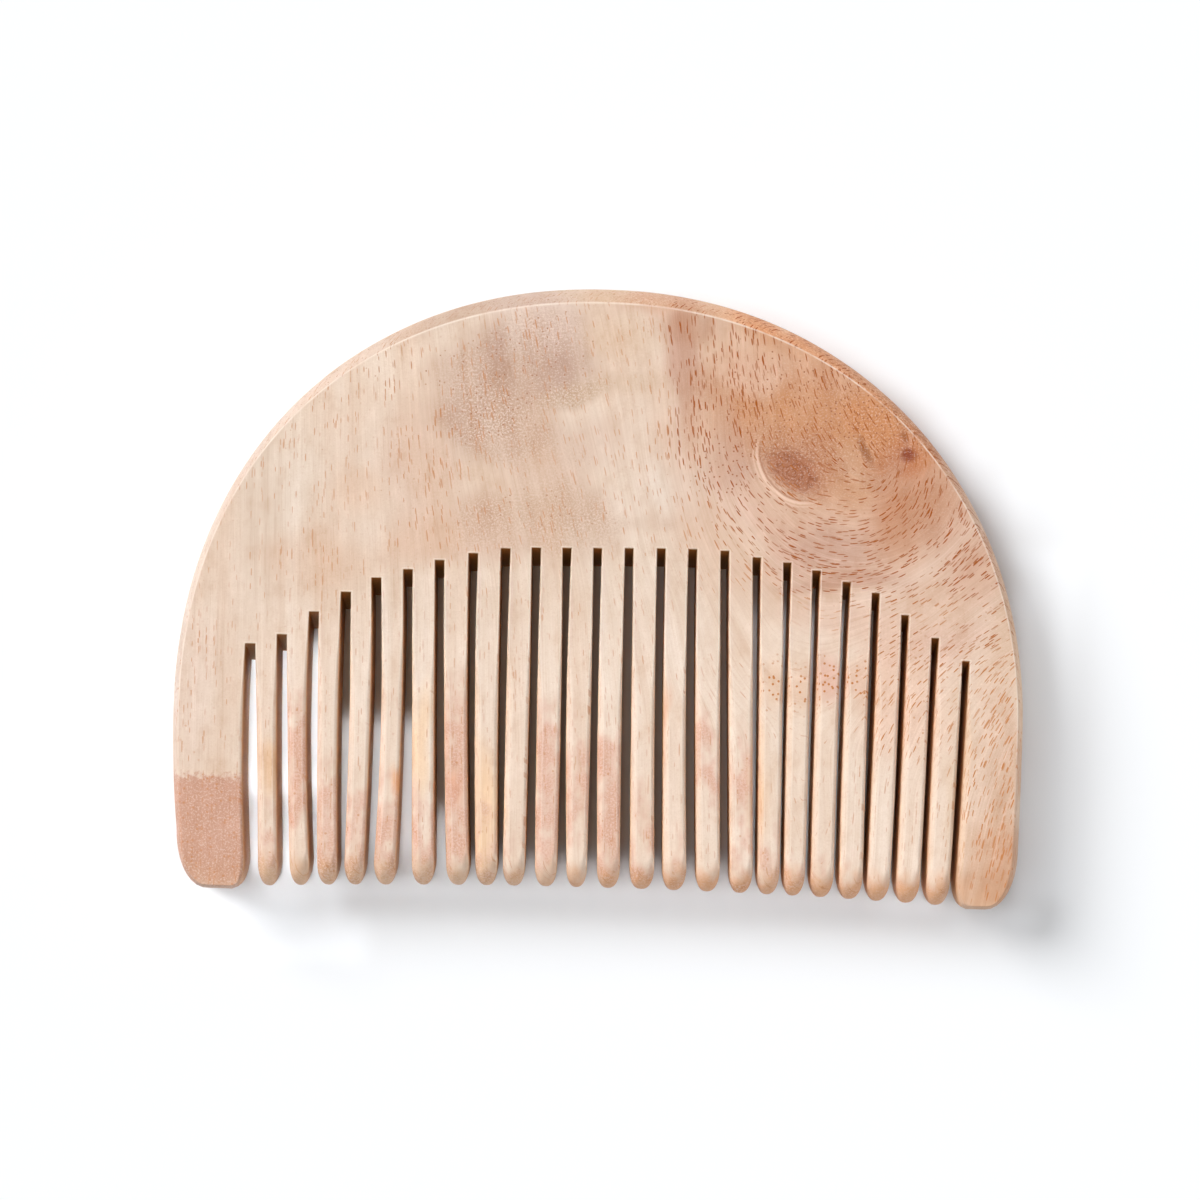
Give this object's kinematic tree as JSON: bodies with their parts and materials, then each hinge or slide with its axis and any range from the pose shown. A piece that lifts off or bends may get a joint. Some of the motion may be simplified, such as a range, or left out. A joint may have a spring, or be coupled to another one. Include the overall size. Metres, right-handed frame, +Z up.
{
  "type": "wooden comb",
  "caption": "Half-moon wooden hair comb with a rounded back, saw-cut slots, round-nosed teeth and a wide guard at each end.",
  "frame": {"origin": "centre of the lower face's bounding box, on the surface that the comb lies on", "axes": "+X across the comb from its wider guard to its narrower one, +Y from the teeth's ends to the top of the back, +Z up through the thickness, out of the face that the picture shows"},
  "size_m": [0.12, 0.086, 0.01],
  "materials": {
    "wood": "fine-sanded pale wood with a thin satin wax"
  },
  "bodies": {
    "root": {"comb": "wood"}
  },
  "joints": []
}
